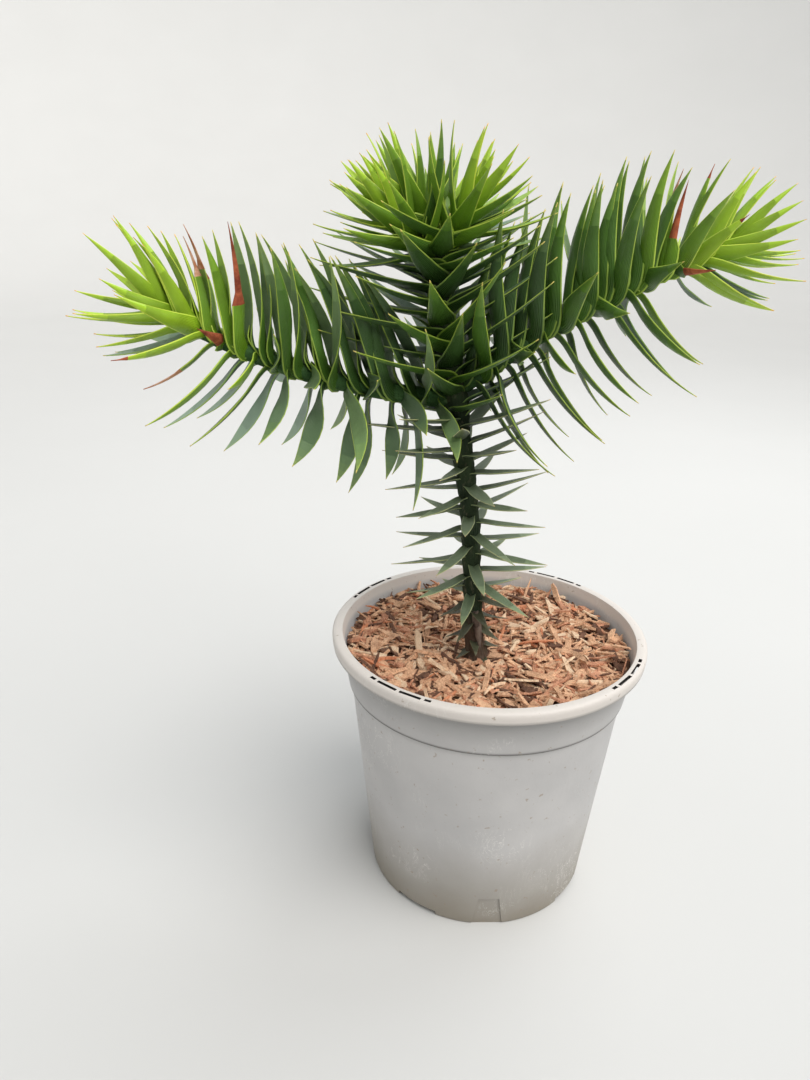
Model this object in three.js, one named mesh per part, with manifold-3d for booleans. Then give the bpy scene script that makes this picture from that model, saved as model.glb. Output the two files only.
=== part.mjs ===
// A young monkey puzzle tree in a nursery pot: pot, compost, bark mulch, a leaning trunk with two
// boughs and a crown of four shoots, and the leaves as spiky masses cut round the wood.
// Millimetres, +Z up, +X to the right and +Y away from the front. The origin is the middle of the
// pot's flat underside.

import * as THREE from 'three';
import { mergeVertices } from 'three/addons/utils/BufferGeometryUtils.js';
import Module from 'manifold-3d';

const wasm = await Module();
wasm.setup();

const GAP = 0.3;
const WELD = 1e-3;
const FINEST = 0.04;
const DEGREE = Math.PI / 180;

// Driving dimensions of the pot
const POT = {
  height: 115,
  rimRadius: 65,
  baseRadius: 47.6,
  shoulderRadius: 57,
  collarFootRadius: 58.4,
  collarTopRadius: 62.1,
  collarDrop: 22,
  lipDrop: 5.1,
  lipThickness: 1.3,
  flangeThickness: 1.6,
  wall: 1.5,
  floor: 2.4,
  edge: 0.8,
  sides: 36,
  corners: 4,
  firstCorner: -126,
};
const LABEL_SLOT = { radius: 62.9, width: 1.3, gap: 1.4, lengths: [2.6, 9, 9, 2.6] };
const NOTCH = { width: 19, height: 2.2, depth: 4.5 };
const DRAIN = { width: 9, depth: 3.6, radius: 42.8 };
const PANEL = { turn: 38, footWidth: 13, topWidth: 8.6, height: 15, depth: 0.5 };

// Driving dimensions of what fills the pot
const COMPOST = { top: 92, sides: 32 };
const MULCH = { atWall: 106.6, atTrunk: 103.7, seat: 9, lumps: 0.9, rings: 7, sides: 32 };

// Driving dimensions of the trunk, from its flat cut on the mulch to its tip
const TRUNK = {
  cut: 104,
  route: [
    [-4.9, -6.7, 102],
    [-7.4, -6.7, 129],
    [-10.8, -6.7, 170],
    [-17.7, -6.7, 210],
    [-24.3, -6.7, 245],
    [-26, -6.7, 268],
  ],
  radius: [3.8, 3.6, 3.7, 3.9, 2.6],
  flare: 2,
  flareHeight: 9,
  whorl: 213,
  whorlSwelling: 1,
  whorlReach: 8,
  sides: 12,
  steps: 15,
};

// Leaves sit on a spiral. Each list runs from the foot of the wood that carries them to its tip:
// length, width, and opening angle from the wood's own direction on its upper and its lower side.
// Sweep turns the leaves of a level bough up or down from a row at its side, and spread opens that row.
const SPIRAL = 137.508;
const SIDE_ROW = [70, 92];
const SWEEP_BELOW = 0.6;
const LEAF_FLATNESS = 0.2;
const LEAF_FOOT = 0.7;
const LEFT_BOUGH_LEAVES = {
  spacing: [1.6, 1.6, 1.6, 1.5, 1],
  length: [46, 46, 45, 41, 34, 29],
  width: [9.8, 9.8, 9.6, 9, 8.5, 7.5],
  upper: [50, 50, 53, 62, 48, 14],
  lower: [100, 96, 84, 68, 56, 22],
  sweep: 34,
  spread: 20,
};
const RIGHT_BOUGH_LEAVES = {
  spacing: [1.6, 1.6, 1.6, 1.5, 1],
  length: [46, 46, 45, 41, 34, 29],
  width: [9.8, 9.8, 9.6, 9, 8.5, 7.5],
  upper: [46, 46, 50, 58, 50, 14],
  lower: [88, 82, 80, 68, 48, 20],
  sweep: 34,
  spread: 34,
};
const SHOOT_LEAVES = {
  spacing: [0.9, 0.85, 0.8],
  length: [34, 33, 30, 25, 18],
  width: [8.8, 8.2, 7.4, 6.6, 5.6],
  upper: [64, 52, 36, 20, 6],
  lower: [56, 42, 28, 16, 6],
  sweep: 0,
  spread: 0,
};
const TRUNK_LEAVES = {
  spacing: [1.6, 1.6, 1.5, 1.15, 1.05],
  length: [5, 15, 25, 26, 27, 29, 39, 43, 40, 34],
  width: [3.4, 4.6, 5.2, 5.3, 5.6, 6.6, 9.6, 10, 10, 9.4],
  upper: [100, 104, 95, 90, 88, 74, 66, 61, 65, 74],
  lower: [100, 104, 95, 90, 88, 74, 66, 61, 65, 74],
  sweep: 0,
  spread: 0,
};

// Boughs and shoots: the height at which each leaves the trunk, its compass turn from +X, its rise
// above level from start to end, its length along the curve, its radius at both ends, and how far
// along its leaves begin. The wood runs on for a socket into its leaves, and its curve for a spare
// length beyond its reach.
const LIMBS = {
  left_bough: {
    z: 212, turn: 190, rise: [5, 11, 18, 27, 44], reach: 108,
    radius: [3.6, 2.4], clad: 14, leaves: LEFT_BOUGH_LEAVES,
  },
  right_bough: {
    z: 215, turn: 10, rise: [32, 32, 25, 21, 24], reach: 113,
    radius: [3.6, 2.4], clad: 14, leaves: RIGHT_BOUGH_LEAVES,
  },
  left_shoot: {
    z: 259, turn: 186, rise: [42, 48], reach: 26, radius: [2, 1.5], clad: 9, leaves: SHOOT_LEAVES,
  },
  right_shoot: {
    z: 261, turn: -5, rise: [56, 64], reach: 22, radius: [2, 1.5], clad: 9, leaves: SHOOT_LEAVES,
  },
  rear_shoot: {
    z: 261.5, turn: 84, rise: [42, 52], reach: 22, radius: [2, 1.5], clad: 9, leaves: SHOOT_LEAVES,
  },
  middle_shoot: {
    z: 265.5, turn: 142, rise: [46, 54], reach: 20, radius: [1.8, 1.4], clad: 9, leaves: SHOOT_LEAVES,
  },
};
const SOCKET = 6;
const SPARE = 10;
const LIMB_SIDES = 8;

// Leaf masses: the wood that each is cut round, the stretch of it in millimetres from its start,
// the radius of the solid middle from which the leaves stand, and the least gap between two tips
const MASSES = {
  left_crown_leaves: { on: 'left_shoot', from: 9, to: 33, core: [3.4, 5.5, 5.5, 2], apart: 9 },
  right_crown_leaves: { on: 'right_shoot', from: 9, to: 29, core: [3.4, 5.5, 5.5, 2], apart: 9 },
  rear_crown_leaves: { on: 'rear_shoot', from: 9, to: 29, core: [3.4, 5.5, 5.5, 2], apart: 9 },
  middle_crown_leaves: { on: 'middle_shoot', from: 9, to: 26, core: [3.2, 5, 4.5, 2], apart: 9 },
  leader_leaves: { on: 'trunk', from: 126, to: 156, core: [8, 9, 8, 6], apart: 8 },
  left_bough_leaves: { on: 'left_bough', from: 14, to: 116, core: [7, 9, 9, 8.5, 8, 2], apart: 13 },
  right_bough_leaves: { on: 'right_bough', from: 14, to: 121, core: [7, 9, 9, 8.5, 8, 2], apart: 13 },
  trunk_leaves: { on: 'trunk', from: 9, to: 103, core: [6.2, 6, 6, 6.4], apart: 13 },
};
const LOWEST_LEAF = 110.5;

const COLOURS = {
  pot: [0xb5aba1, 0.6],
  compost: [0x3b2a20, 0.95],
  bark_mulch: [0xa2633f, 0.9],
  wood: [0x3c3a2c, 0.85],
  trunk_leaves: [0x4f7358, 0.5],
  leader_leaves: [0x2f6a33, 0.42],
  bough_leaves: [0x3a7a2e, 0.42],
  crown_leaves: [0x7fb83a, 0.42],
};

function random(seed) {
  const value = Math.sin(seed * 12.9898 + 4.1414) * 43758.5453;
  return value - Math.floor(value);
}

// The value of an evenly spaced list at a share from 0 to 1
function mix(list, share) {
  const at = (list.length - 1) * Math.min(Math.max(share, 0), 1);
  const low = Math.min(Math.floor(at), list.length - 2);
  return list[low] + (list[low + 1] - list[low]) * (at - low);
}

function solidOf(geometry) {
  const bare = new THREE.BufferGeometry().setAttribute('position', geometry.attributes.position);
  const merged = mergeVertices(bare.setIndex(geometry.index), WELD);
  return new wasm.Manifold(new wasm.Mesh({
    numProp: 3,
    vertProperties: new Float32Array(merged.attributes.position.array),
    triVerts: new Uint32Array(merged.index.array),
  }));
}

function meshOf(name, solid, [colour, roughness]) {
  const { vertProperties, triVerts } = solid.getMesh();
  const geometry = new THREE.BufferGeometry();
  geometry.setAttribute('position', new THREE.BufferAttribute(vertProperties, 3));
  geometry.setIndex(new THREE.BufferAttribute(triVerts, 1));
  geometry.computeVertexNormals();
  const material = new THREE.MeshStandardMaterial({ color: colour, roughness, metalness: 0 });
  const mesh = new THREE.Mesh(geometry, material);
  mesh.name = name;
  return mesh;
}

// A solid of revolution about +Z from a profile of [radius, height] points
function turnedGeometry(profile, sides) {
  const points = profile.map(([radius, height]) => new THREE.Vector2(radius, height));
  return new THREE.LatheGeometry(points, sides).rotateX(Math.PI / 2);
}

// A box whose middle is at a radius and turn about +Z, with its length along the tangent
function tangentBox(length, depth, height, radius, turn, z) {
  const geometry = new THREE.BoxGeometry(depth, length, height);
  return solidOf(geometry.translate(radius, 0, z).rotateZ(turn * DEGREE));
}

function potShell() {
  const { height, edge, wall, floor } = POT;
  const lipFoot = height - POT.lipDrop;
  const collarFoot = height - POT.collarDrop;
  const flangeFoot = height - POT.flangeThickness;
  const lipInside = POT.rimRadius - POT.lipThickness;
  return solidOf(turnedGeometry([
    [0, 0],
    [POT.baseRadius - edge, 0],
    [POT.baseRadius, edge],
    [POT.shoulderRadius, collarFoot - edge],
    [POT.collarFootRadius, collarFoot],
    [POT.collarTopRadius, flangeFoot],
    [lipInside, flangeFoot],
    [lipInside, lipFoot],
    [POT.rimRadius - edge / 2, lipFoot],
    [POT.rimRadius, height - edge],
    [POT.rimRadius - edge, height],
    [POT.collarTopRadius - wall, height],
    [POT.collarFootRadius - wall, collarFoot],
    [POT.shoulderRadius - wall, collarFoot - 2 * edge],
    [POT.baseRadius - wall, floor + edge],
    [POT.baseRadius - wall - edge, floor],
    [0, floor],
  ], POT.sides));
}

// Narrow slots through the rim, long between short, centred on one turn
function labelSlots(turn) {
  const { radius, width, gap, lengths } = LABEL_SLOT;
  const whole = lengths.reduce((sum, length) => sum + length + gap, -gap);
  let start = -whole / 2;
  return lengths.map((length) => {
    const middle = turn + (start + length / 2) / radius / DEGREE;
    start += length + gap;
    return tangentBox(length, width, 3 * POT.flangeThickness, radius, middle, POT.height);
  });
}

// A shallow recess in the wall above the foot, narrower at its top
function panelRecess(turn) {
  const { footWidth, topWidth, height, depth } = PANEL;
  const outline = new THREE.Shape([
    new THREE.Vector2(-footWidth / 2, -1),
    new THREE.Vector2(footWidth / 2, -1),
    new THREE.Vector2(topWidth / 2, height),
    new THREE.Vector2(-topWidth / 2, height),
  ]);
  const slope = Math.atan2(POT.shoulderRadius - POT.baseRadius, POT.height - POT.collarDrop);
  const geometry = new THREE.ExtrudeGeometry(outline, { depth: 5, bevelEnabled: false });
  geometry.rotateX(Math.PI / 2).rotateZ(Math.PI / 2).rotateY(slope);
  const flatRadius = POT.baseRadius * Math.cos(Math.PI / POT.sides);
  return solidOf(geometry.translate(flatRadius - depth, 0, 0).rotateZ(turn * DEGREE));
}

function potSolid() {
  let pot = potShell();
  for (let corner = 0; corner < POT.corners; corner += 1) {
    const turn = POT.firstCorner + (corner * 360) / POT.corners;
    const cuts = [
      tangentBox(NOTCH.width, 2 * NOTCH.depth, 2 * NOTCH.height, POT.baseRadius, turn, 0),
      tangentBox(DRAIN.width, DRAIN.depth, 4 * POT.floor, DRAIN.radius, turn, 0),
      panelRecess(turn + PANEL.turn),
      ...labelSlots(turn),
    ];
    for (const cut of cuts) pot = pot.subtract(cut);
  }
  return pot;
}

// The radius that the fill may have at a height, clear of the faceted wall
function fillRadius(z) {
  const collarFoot = POT.height - POT.collarDrop;
  const outside = z < collarFoot
    ? mix([POT.baseRadius, POT.shoulderRadius], z / collarFoot)
    : mix([POT.collarFootRadius, POT.collarTopRadius], (z - collarFoot) / POT.collarDrop);
  return (outside - POT.wall) * Math.cos(Math.PI / POT.sides) - GAP;
}

function compostSolid() {
  const foot = POT.floor + GAP;
  return solidOf(turnedGeometry([
    [0, foot],
    [fillRadius(0) - 2 * POT.edge, foot],
    [fillRadius(0), foot + 2 * POT.edge],
    [fillRadius(COMPOST.top - 2) - GAP, COMPOST.top - 2],
    [fillRadius(COMPOST.top - 2) - GAP, COMPOST.top],
    [0, COMPOST.top],
  ], COMPOST.sides));
}

// The height of the mulch: flat where the trunk stands, lumpy and rising towards the wall elsewhere
function mulchHeight(x, y) {
  const [footX, footY] = TRUNK.route[0];
  const reach = Math.hypot(x - footX, y - footY);
  if (reach < MULCH.seat) return MULCH.atTrunk;
  const wide = fillRadius(MULCH.atWall);
  const lumps = Math.sin(0.33 * x + 2 * Math.sin(0.19 * y)) * Math.cos(0.29 * y + Math.sin(0.23 * x));
  const slope = mix([MULCH.atTrunk, MULCH.atWall], (reach - MULCH.seat) / (wide - 2 * MULCH.seat));
  return slope + MULCH.lumps * lumps;
}

function mulchSolid() {
  const foot = COMPOST.top + GAP;
  const wide = fillRadius(MULCH.atWall - 3);
  const rings = Array.from({ length: MULCH.rings + 1 }, (_, ring) => [
    (wide * (MULCH.rings - ring)) / MULCH.rings,
    MULCH.atWall,
  ]);
  const profile = [[0, foot], [fillRadius(COMPOST.top - 2) - GAP, foot], ...rings];
  const geometry = turnedGeometry(profile, MULCH.sides);
  const { position } = geometry.attributes;
  for (let index = 0; index < position.count; index += 1) {
    const [x, y, z] = [position.getX(index), position.getY(index), position.getZ(index)];
    if (z > foot + 1) position.setZ(index, mulchHeight(x, y));
  }
  return solidOf(geometry);
}

// The point on a curve, its direction, and two directions across it, the first the more upward
function frameAt(curve, share) {
  const along = curve.getTangentAt(share);
  const upright = Math.abs(along.z) > 0.9 ? new THREE.Vector3(0, -1, 0) : new THREE.Vector3(0, 0, 1);
  const across = upright.addScaledVector(along, -along.dot(upright)).normalize();
  const side = new THREE.Vector3().crossVectors(along, across);
  return { point: curve.getPointAt(share), along, across, side };
}

// A round bar along a stretch of a curve, from a cylinder whose rings are laid on the curve
function barAlong(curve, from, to, radiusAt, sides, steps) {
  const geometry = new THREE.CylinderGeometry(1, 1, 1, sides, steps);
  const { position } = geometry.attributes;
  const whole = curve.getLength();
  for (let index = 0; index < position.count; index += 1) {
    const step = position.getY(index) + 0.5;
    const { point, across, side } = frameAt(curve, (from + (to - from) * step) / whole);
    const radius = radiusAt(step);
    point.addScaledVector(across, position.getX(index) * radius);
    point.addScaledVector(side, -position.getZ(index) * radius);
    position.setXYZ(index, point.x, point.y, point.z);
  }
  return solidOf(geometry);
}

function trunkRadius(z) {
  const [foot, top] = [TRUNK.cut, TRUNK.route.at(-1)[2]];
  const flare = TRUNK.flare * Math.exp((foot - z) / (TRUNK.flareHeight / 2));
  const swelling = TRUNK.whorlSwelling * Math.exp(-(((z - TRUNK.whorl) / TRUNK.whorlReach) ** 2));
  return mix(TRUNK.radius, (z - foot) / (top - foot)) + flare + swelling;
}

// The trunk, fatter and longer by grow, cut level where it stands on the mulch
function trunkSolid(line, radiusAt, grow) {
  const end = line.getLength() - GAP + grow;
  const bar = barAlong(line, 0, end, (step) => radiusAt(step * end) + grow, TRUNK.sides, TRUNK.steps);
  const [x, y] = TRUNK.route[0];
  const size = 40;
  const ground = new THREE.BoxGeometry(size, size, size);
  return bar.subtract(solidOf(ground.translate(x, y, TRUNK.cut - size / 2)));
}

// The limb's curve, from the trunk's middle, bending as its rise changes along it
function limbCurve(limb, trunk) {
  const steps = 12;
  const start = trunk.getSpacedPoints(400).find((point) => point.z >= limb.z);
  const points = [start];
  for (let step = 0; step < steps; step += 1) {
    const rise = mix(limb.rise, (step + 0.5) / steps) * DEGREE;
    const turn = limb.turn * DEGREE;
    const level = new THREE.Vector3(Math.cos(turn), Math.sin(turn), 0);
    const along = level.multiplyScalar(Math.cos(rise)).setZ(Math.sin(rise));
    points.push(points.at(-1).clone().addScaledVector(along, (limb.reach + SPARE) / steps));
  }
  return new THREE.CatmullRomCurve3(points);
}

// The wood as named pieces, each with its curve, its radius at a length along it, and a function
// that makes its solid, fatter by grow
function woodPieces() {
  const trunkLine = new THREE.CatmullRomCurve3(TRUNK.route.map((point) => new THREE.Vector3(...point)));
  const whole = trunkLine.getLength();
  const trunkRadiusAt = (along) => trunkRadius(trunkLine.getPointAt(Math.min(along / whole, 1)).z);
  const pieces = {
    trunk: {
      curve: trunkLine,
      reach: whole,
      radiusAt: trunkRadiusAt,
      rule: TRUNK_LEAVES,
      seed: 7,
      solid: (grow) => trunkSolid(trunkLine, trunkRadiusAt, grow),
    },
  };
  for (const [name, limb] of Object.entries(LIMBS)) {
    const curve = limbCurve(limb, trunkLine);
    const end = limb.clad + SOCKET;
    const radiusAt = (along) => mix(limb.radius, along / limb.reach);
    const solid = (grow) => barAlong(
      curve, 0, end + grow, (step) => radiusAt(step * end) + grow, LIMB_SIDES, 4,
    );
    pieces[name] = { curve, reach: limb.reach, radiusAt, solid, rule: limb.leaves, seed: limb.z };
  }
  return pieces;
}

// How far a leaf is swept up, below 0, or down, above 0: not at all in the row at the side
function combed(turn) {
  const [low, high] = SIDE_ROW;
  if (turn < low) return -Math.sin((Math.PI * turn) / low);
  return SWEEP_BELOW * Math.sin((Math.PI * Math.max(turn - high, 0)) / (180 - high));
}

// The foot, tip, flat direction and width of every leaf on a piece of wood
function leavesOn(piece) {
  const { rule, seed } = piece;
  const leaves = [];
  const whole = piece.curve.getLength();
  let along = 3;
  for (let index = 0; along < piece.reach; index += 1) {
    const share = along / piece.reach;
    const { point, along: forward, across, side } = frameAt(piece.curve, Math.min(along / whole, 1));
    let turn = (index * SPIRAL + 360 * random(seed)) % 360;
    if (turn > 180) turn -= 360;
    const hang = (1 - Math.cos(turn * DEGREE)) / 2;
    const swing = combed(Math.abs(turn)) * rule.sweep * (0.6 + 0.8 * random(seed + index + 0.25));
    const swept = (turn + Math.sign(turn) * swing) * DEGREE;
    const spread = rule.spread * Math.sin(turn * DEGREE) ** 4 * (1 - share ** 3);
    const open = (mix(rule.upper, share) * (1 - hang) + mix(rule.lower, share) * hang + spread
      + 12 * (random(seed + index) - 0.5)) * DEGREE;
    const turned = (from, to, angle) => (
      from.clone().multiplyScalar(Math.cos(angle)).addScaledVector(to, Math.sin(angle))
    );
    const out = (angle) => turned(across, side, angle);
    const reachOut = turned(forward, out(swept), open);
    const foot = point.clone().addScaledVector(out(turn * DEGREE), piece.radiusAt(along) + LEAF_FOOT);
    const length = mix(rule.length, share) * (0.88 + 0.24 * random(seed + index + 0.5));
    const tip = foot.clone().addScaledVector(reachOut, length);
    const flat = new THREE.Vector3().crossVectors(reachOut, forward).normalize();
    leaves.push({ along, foot, tip, flat, width: mix(rule.width, share) });
    along += mix(rule.spacing, share);
  }
  return leaves;
}

// One leaf as a flat keeled spike
function leafSpike({ foot, tip, flat, width }) {
  const reach = tip.clone().sub(foot);
  const thick = new THREE.Vector3().crossVectors(reach, flat).normalize();
  const geometry = new THREE.ConeGeometry(1, 1, 3, 1, false, Math.PI / 2);
  const { position } = geometry.attributes;
  for (let index = 0; index < position.count; index += 1) {
    const point = foot.clone().addScaledVector(reach, position.getY(index) + 0.5);
    point.addScaledVector(flat, (position.getZ(index) * width) / Math.sqrt(3));
    point.addScaledVector(thick, (position.getX(index) * width * LEAF_FLATNESS) / 1.5);
    position.setXYZ(index, point.x, point.y, point.z);
  }
  return solidOf(geometry);
}

// Balls that fill a leaf or a stretch of wood, for keeping the masses apart
function ballsOf(from, to, radiusAt, count = 14) {
  return Array.from({ length: count + 1 }, (_, step) => ({
    middle: from.clone().lerp(to, step / count),
    radius: radiusAt(step / count),
  }));
}

function ballsAlong(piece, from, to, radiusAt) {
  const whole = piece.curve.getLength();
  const count = Math.ceil((to - from) / 2);
  return Array.from({ length: count + 1 }, (_, step) => ({
    middle: piece.curve.getPointAt(Math.min((from + ((to - from) * step) / count) / whole, 1)),
    radius: radiusAt(step / count),
  }));
}

function apart(balls, others) {
  return balls.every((ball) => others.every(
    (other) => ball.middle.distanceTo(other.middle) > ball.radius + other.radius + GAP,
  ));
}

// Every leaf mass: its solid middle and each leaf that stands clear of the other masses, of the wood
// and of the leaves before it in its own mass
function leafMasses(pieces) {
  const taken = [];
  for (const [name, piece] of Object.entries(pieces)) {
    const end = name === 'trunk' ? piece.reach : LIMBS[name].clad + SOCKET;
    const balls = ballsAlong(piece, 0, end, (step) => piece.radiusAt(step * end));
    taken.push({ owner: name, balls });
  }
  for (const [name, mass] of Object.entries(MASSES)) {
    const balls = ballsAlong(pieces[mass.on], mass.from, mass.to, (step) => mix(mass.core, step));
    taken.push({ owner: name, balls });
  }
  const solids = {};
  for (const [name, mass] of Object.entries(MASSES)) {
    const piece = pieces[mass.on];
    const middle = (grow) => {
      const radiusAt = (step) => mix(mass.core, step) + grow;
      return barAlong(piece.curve, mass.from, mass.to, radiusAt, LIMB_SIDES, mass.core.length + 1);
    };
    const around = middle(GAP);
    const tips = [];
    const spikes = [];
    let standing = null;
    for (const leaf of leavesOn(piece)) {
      const inside = leaf.along > mass.from + 1 && leaf.along < mass.to - 1 && leaf.tip.z > LOWEST_LEAF;
      if (!inside || tips.some((tip) => tip.distanceTo(leaf.tip) < mass.apart)) continue;
      const balls = ballsOf(leaf.foot, leaf.tip, (step) => (leaf.width / 2) * (1 - step));
      const others = taken.filter(({ owner }) => owner !== name && owner !== mass.on);
      if (!others.every((other) => apart(balls, other.balls))) continue;
      const spike = leafSpike(leaf);
      const outside = spike.subtract(around);
      if (standing && standing.minGap(outside, 1) < GAP) continue;
      standing = standing ? standing.add(outside) : outside;
      spikes.push(spike);
      tips.push(leaf.tip);
      taken.push({ owner: name, balls });
    }
    const whole = spikes.reduce((sum, spike) => sum.add(spike), middle(0));
    solids[name] = whole.subtract(piece.solid(GAP)).simplify(FINEST);
  }
  return solids;
}

function monkeyPuzzleTree() {
  const tree = new THREE.Group();
  const pieces = woodPieces();
  const trunkClearance = pieces.trunk.solid(GAP);
  tree.add(meshOf('pot', potSolid(), COLOURS.pot));
  tree.add(meshOf('compost', compostSolid(), COLOURS.compost));
  tree.add(meshOf('bark_mulch', mulchSolid(), COLOURS.bark_mulch));
  tree.add(meshOf('trunk', pieces.trunk.solid(0), COLOURS.wood));
  for (const name of Object.keys(LIMBS)) {
    tree.add(meshOf(name, pieces[name].solid(0).subtract(trunkClearance), COLOURS.wood));
  }
  for (const [name, solid] of Object.entries(leafMasses(pieces))) {
    const colour = COLOURS[name] ?? COLOURS[name.replace(/^[a-z]+_/, '')];
    tree.add(meshOf(name, solid, colour));
  }
  return tree;
}

export default monkeyPuzzleTree();
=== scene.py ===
"""Looks of a young monkey puzzle tree in a taupe nursery pot topped with bark mulch.

Lengths are in millimetres until a mesh is made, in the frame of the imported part: +Z up, +X to
the right, +Y away from the viewer, and the origin under the middle of the pot. Turns and
angles are in degrees.
"""

from functools import cache, partialmethod
from math import atan2, copysign, cos, degrees, exp, floor, hypot, pi, radians, sin, sqrt, tan
from types import SimpleNamespace

import bmesh
import bpy
import numpy as np
from mathutils import Matrix, Vector


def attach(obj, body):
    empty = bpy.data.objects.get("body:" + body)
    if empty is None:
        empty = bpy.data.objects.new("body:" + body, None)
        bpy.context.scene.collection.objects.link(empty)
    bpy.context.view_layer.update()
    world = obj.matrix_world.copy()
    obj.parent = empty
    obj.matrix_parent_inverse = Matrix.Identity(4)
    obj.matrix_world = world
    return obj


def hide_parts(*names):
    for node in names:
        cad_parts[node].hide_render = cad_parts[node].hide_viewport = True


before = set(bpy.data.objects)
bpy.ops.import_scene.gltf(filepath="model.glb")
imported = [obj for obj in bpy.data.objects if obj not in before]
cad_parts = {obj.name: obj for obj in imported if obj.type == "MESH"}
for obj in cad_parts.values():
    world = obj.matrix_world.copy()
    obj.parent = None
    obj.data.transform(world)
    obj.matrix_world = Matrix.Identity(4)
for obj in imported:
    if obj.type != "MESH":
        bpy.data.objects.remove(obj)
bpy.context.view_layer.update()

MM = 0.001

# The camera, as solved from the pot's rim, collar and foot in the photo
EYE = (-35.4, -302.8, 274.7)
PITCH = 21.85
ROLL = 1.07
LENS = 27.03
SENSOR = 36

# The pot
POT_HEIGHT = 115
RIM_RADIUS = 65
BASE_RADIUS = 47.6
SHOULDER_RADIUS = 57
COLLAR_FOOT_RADIUS = 58.4
COLLAR_TOP_RADIUS = 62.1
COLLAR_FOOT = 93
LIP_FOOT = 109.9
LIP_THICKNESS = 1.3
FLANGE_THICKNESS = 1.6
WALL = 1.5
POT_FLOOR = 2.4
POT_SIDES = 288
CORNERS = 4
FIRST_CORNER = -126
SLOT_RADIUS = 62.9
SLOT_WIDTH = 1.3
SLOT_GAP = 1.4
SLOT_LENGTHS = (2.6, 9, 9, 2.6)
SLOT_DEPTH_SEEN = 2.2
# A notch's width, depth and height, and a drain slot's width, depth and radius
NOTCH = (19, 4.5, 2.2)
DRAIN = (9, 3.6, 42.8)
PANEL_TURN = 38
PANEL_FOOT_WIDTH = 13
PANEL_TOP_WIDTH = 8.6
PANEL_HEIGHT = 15
PANEL_DEPTH = 0.5

# The pot's colours
POT_DARK = (0.47, 0.46, 0.455)
POT_PALE = (0.55, 0.535, 0.525)
# Painted shade on the collar below the lip
COLLAR_SHADE = (0.27, 0.26, 0.25)
# Painted shadow in the creases at the collar's step and under the lip
CREASE_SHADOW = (0.06, 0.055, 0.05)
GRIME = (0.28, 0.25, 0.205)
# The paler colour of the pot from its rim up
PALER_RIM = (0.66, 0.61, 0.565)
SPECK = (0.30, 0.22, 0.15)
SCUFF = (0.78, 0.76, 0.72)
# The collar's slope outward, and the radii, carried down that slope to the ground, between which
# the wall turns from inside to outside
COLLAR_SLOPE = 0.185
COLLAR_SKIN = (40.1, 40.5)
# The painted shadow line in the crease at the step, and how far from it the painted shadow starts and is full
STEP_LINE = 92.4
STEP_LINE_FADE = (1.7, 0.5)
# The heights between which each other colour sets in, with the strength of the painted shade on the collar;
# the lip line is a painted shadow under the lip
COLLAR_SHADES = ((92.2, 93.2, 0.2), (97, 110, 0.7))
LIP_LINE = (108.2, 109.6)
RIM_FADE = (109.5, 111.5)
GRIME_FADE = (58, 12)
GRIME_WAVES = 22

# What fills the pot
MULCH_RADIUS = 59
MULCH_AT_WALL = 106.6
MULCH_AT_TRUNK = 103.7
MULCH_SEAT = 9
MULCH_SLOPE_REACH = 40.7
MULCH_LUMPS = 0.9
MULCH_CHIPS = 2700
BED_FOOT = 98
# Shreds, flakes and long slivers: the share of chips up to and with each sort, then the least
# and greatest length, width and thickness
CHIP_SORTS = (
    (0.66, (3, 11), (0.5, 1.5), (0.4, 0.9)),
    (0.93, (4, 10), (1.6, 4), (0.5, 1.2)),
    (1, (12, 21), (1.2, 3.2), (0.6, 1.2)),
)
# The share of the chips that each kind has, and the dark and pale colour of its grain
CHIP_KINDS = {
    "bark_tan": (0.46, (0.38, 0.19, 0.11), (0.92, 0.56, 0.34)),
    "bark_rust": (0.20, (0.30, 0.12, 0.065), (0.76, 0.38, 0.23)),
    "bark_dark": (0.15, (0.05, 0.025, 0.017), (0.24, 0.12, 0.075)),
    "wood_pale": (0.16, (0.66, 0.42, 0.26), (0.95, 0.72, 0.50)),
    "bark_orange": (0.03, (0.46, 0.15, 0.07), (0.80, 0.34, 0.18)),
}

# The trunk
TRUNK_CUT = 104
TRUNK_Y = -6.7
TRUNK_LEAN = ((-4.9, 102), (-7.4, 129), (-10.8, 170), (-17.7, 210), (-24.3, 245), (-26, 268))
TRUNK_RADIUS = (3.8, 3.6, 3.7, 3.9, 2.6)
TRUNK_FLARE = 2
TRUNK_FLARE_HEIGHT = 9
WHORL = 213
WHORL_SWELLING = 1
WHORL_REACH = 8

# Leaves sit on a spiral. Each list runs from the foot of the wood that carries them to its tip:
# the gap to the next leaf, length, width, and opening angle on top and underneath. The sweep
# combs a bough's leaves up and down, and the spread opens those at its sides.
SPIRAL = 137.508
FIRST_LEAF = 3
LEAF_FOOT = 0.7
LEAF_SINK = 0.7
SIDE_ROW = (70, 92)
SWEEP_BELOW = 0.6
OPENING_VARIES = 12
BOUGH_LEAVES = dict(
    spacing=(1.6, 1.6, 1.6, 1.5, 1), length=(46, 46, 45, 41, 34, 29),
    width=(9.8, 9.8, 9.6, 9, 8, 5.8), sweep=34,
)
LEFT_BOUGH_LEAVES = dict(
    BOUGH_LEAVES, upper=(50, 50, 53, 62, 48, 14), lower=(100, 96, 84, 68, 56, 22), spread=20,
)
RIGHT_BOUGH_LEAVES = dict(
    BOUGH_LEAVES, upper=(46, 46, 50, 58, 50, 14), lower=(88, 82, 80, 68, 48, 20), spread=34,
)
SHOOT_LEAVES = dict(
    spacing=(0.9, 0.85, 0.8), length=(34, 33, 30, 25, 18), width=(8.8, 8.2, 7.4, 6.6, 5.6),
    upper=(64, 52, 36, 20, 6), lower=(56, 42, 28, 16, 6), sweep=0, spread=0,
)
TRUNK_OPENING = (100, 104, 95, 90, 88, 74, 66, 61, 65, 74)
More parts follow.
